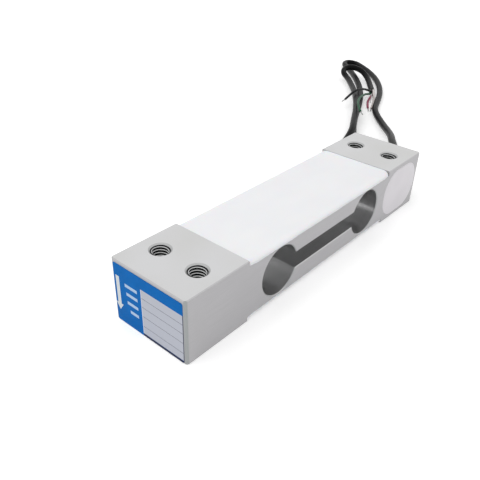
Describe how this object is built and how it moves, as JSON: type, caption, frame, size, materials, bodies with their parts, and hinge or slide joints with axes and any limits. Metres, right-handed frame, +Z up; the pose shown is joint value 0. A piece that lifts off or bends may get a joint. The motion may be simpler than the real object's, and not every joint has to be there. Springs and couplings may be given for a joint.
{
  "type": "single point load cell",
  "caption": "Aluminium bending beam with a binocular cut-out, gauges under a white coat above and below, tapped fixing holes at both ends and a cable with bare cores.",
  "frame": {"origin": "middle of the underside, half-way along and across the beam", "axes": "+X along the beam towards the cable end, +Y across it away from the wiring pocket, +Z up, against the load"},
  "size_m": [0.2943, 0.1339, 0.022],
  "materials": {
    "beam": "milled aluminium alloy, clear anodised, satin",
    "gauge_coat": "white silicone coat, poured, soft satin",
    "enamelled_wire": "copper wire under clear enamel",
    "gauge_film": "amber film with metal foil on it",
    "resistor_body": "moulded, black",
    "board": "glass-fibre board, green",
    "solder": "solder, satin",
    "white_insulation": "extruded PVC, white",
    "green_insulation": "extruded PVC, green",
    "red_insulation": "extruded PVC, red",
    "black_insulation": "extruded PVC, black",
    "potting": "poured silicone compound, pale grey",
    "cover_film": "thin stuck-on cover, satin silver",
    "seal_rubber": "moulded rubber, black",
    "label_film": "printed film, blue and pale grey fields",
    "jacket": "extruded cable jacket, dark grey, matt",
    "tinned_copper": "tinned copper strands"
  },
  "bodies": {
    "root": {"spring_element": "beam", "upper_gauge_coat": "gauge_coat", "lower_gauge_coat": "gauge_coat", "upper_bridge_wires": "enamelled_wire", "lower_bridge_wires": "enamelled_wire", "gauge_top_live": "gauge_film", "gauge_top_fixed": "gauge_film", "gauge_bottom_live": "gauge_film", "gauge_bottom_fixed": "gauge_film", "upper_terminal_strip": "gauge_film", "lower_terminal_strip": "gauge_film", "balance_resistor": "resistor_body", "modulus_resistor": "resistor_body", "span_trim_resistor": "resistor_body", "zero_trim_resistor": "resistor_body", "pocket_board": "board", "pocket_solder_joints": "solder", "inner_lead_white": "white_insulation", "inner_lead_green": "green_insulation", "inner_lead_red": "red_insulation", "inner_lead_black": "black_insulation", "pocket_potting": "potting", "pocket_cover": "cover_film", "cable_seal": "seal_rubber", "end_label": "label_film", "cable_jacket": "jacket", "core_white": "white_insulation", "core_red": "red_insulation", "core_green": "green_insulation", "core_black": "black_insulation", "core_tip_white": "tinned_copper", "core_tip_red": "tinned_copper", "core_tip_green": "tinned_copper", "core_tip_black": "tinned_copper", "drain_wire": "tinned_copper"}
  },
  "joints": []
}
